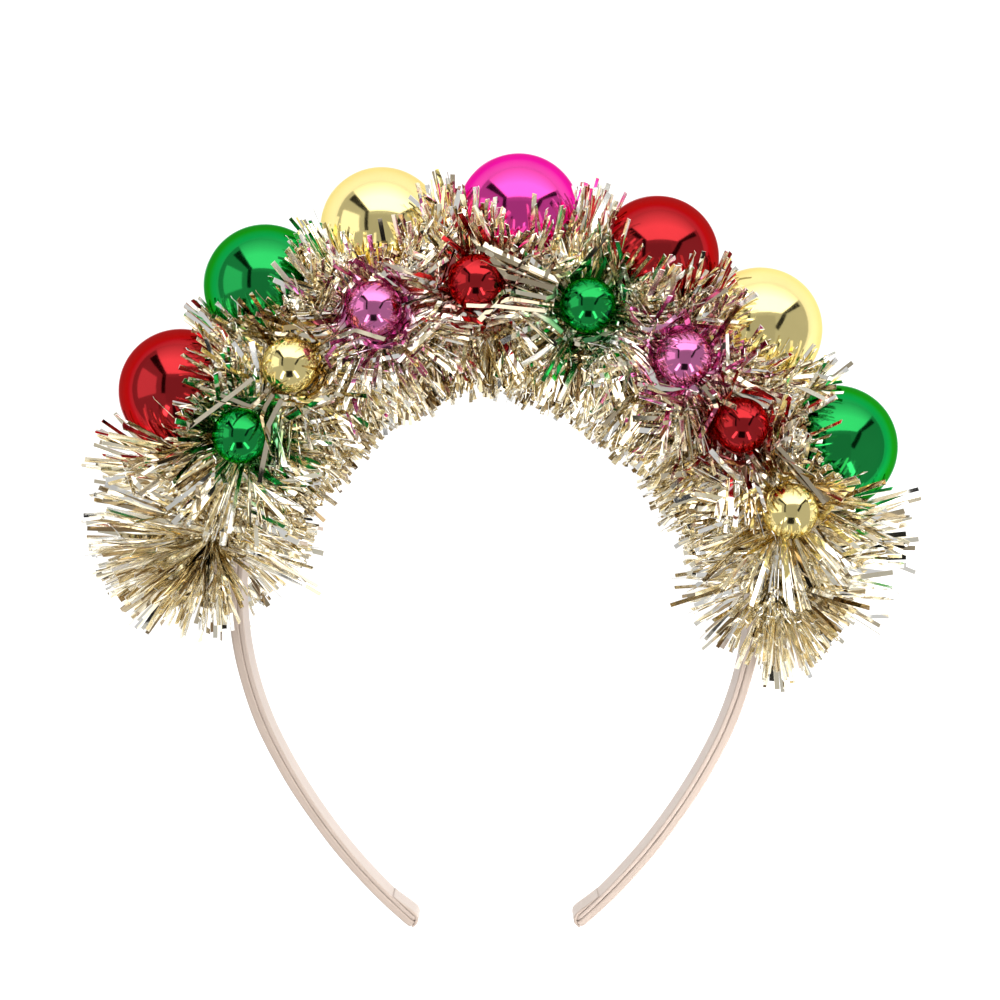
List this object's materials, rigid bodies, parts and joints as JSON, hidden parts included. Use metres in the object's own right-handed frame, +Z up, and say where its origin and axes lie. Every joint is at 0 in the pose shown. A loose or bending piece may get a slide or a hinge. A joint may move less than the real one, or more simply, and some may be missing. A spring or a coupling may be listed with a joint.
{
  "type": "christmas bauble headband",
  "caption": "Ribbon-covered springy headband with a gold tinsel garland and two rows of glossy coloured baubles along its arch.",
  "frame": {"origin": "on the surface that the headband lies on, under the middle of its box", "axes": "+X across the headband to the right of its front, +Y from the open tips to the crown, +Z up out of its front"},
  "size_m": [0.1956, 0.1864, 0.0466],
  "materials": {
    "ribbon": "pale pink satin ribbon",
    "lining_ribbon": "pale pink ribbon, a little lighter",
    "tinsel": "champagne gold metallised film, mirror bright",
    "bauble_red": "metallised red gloss",
    "bauble_green": "metallised green gloss",
    "bauble_gold": "metallised gold gloss",
    "bauble_magenta": "metallised magenta gloss",
    "bauble_pink": "metallised pink gloss",
    "stem": "plain hidden post"
  },
  "bodies": {
    "root": {"band": "ribbon", "lining": "lining_ribbon", "tip_fold_left": "ribbon", "tip_fold_right": "ribbon", "tinsel_garland": "tinsel", "bauble_large_1": "bauble_red", "bauble_large_2": "bauble_green", "bauble_large_3": "bauble_gold", "bauble_large_4": "bauble_magenta", "bauble_large_5": "bauble_red", "bauble_large_6": "bauble_gold", "bauble_large_7": "bauble_green", "bauble_small_1": "bauble_green", "bauble_small_2": "bauble_gold", "bauble_small_3": "bauble_pink", "bauble_small_4": "bauble_red", "bauble_small_5": "bauble_green", "bauble_small_6": "bauble_pink", "bauble_small_7": "bauble_red", "bauble_small_8": "bauble_gold", "stem_large_1": "stem", "stem_large_2": "stem", "stem_large_3": "stem", "stem_large_4": "stem", "stem_large_5": "stem", "stem_large_6": "stem", "stem_large_7": "stem", "stem_small_1": "stem", "stem_small_2": "stem", "stem_small_3": "stem", "stem_small_4": "stem", "stem_small_5": "stem", "stem_small_6": "stem", "stem_small_7": "stem", "stem_small_8": "stem"}
  },
  "joints": []
}
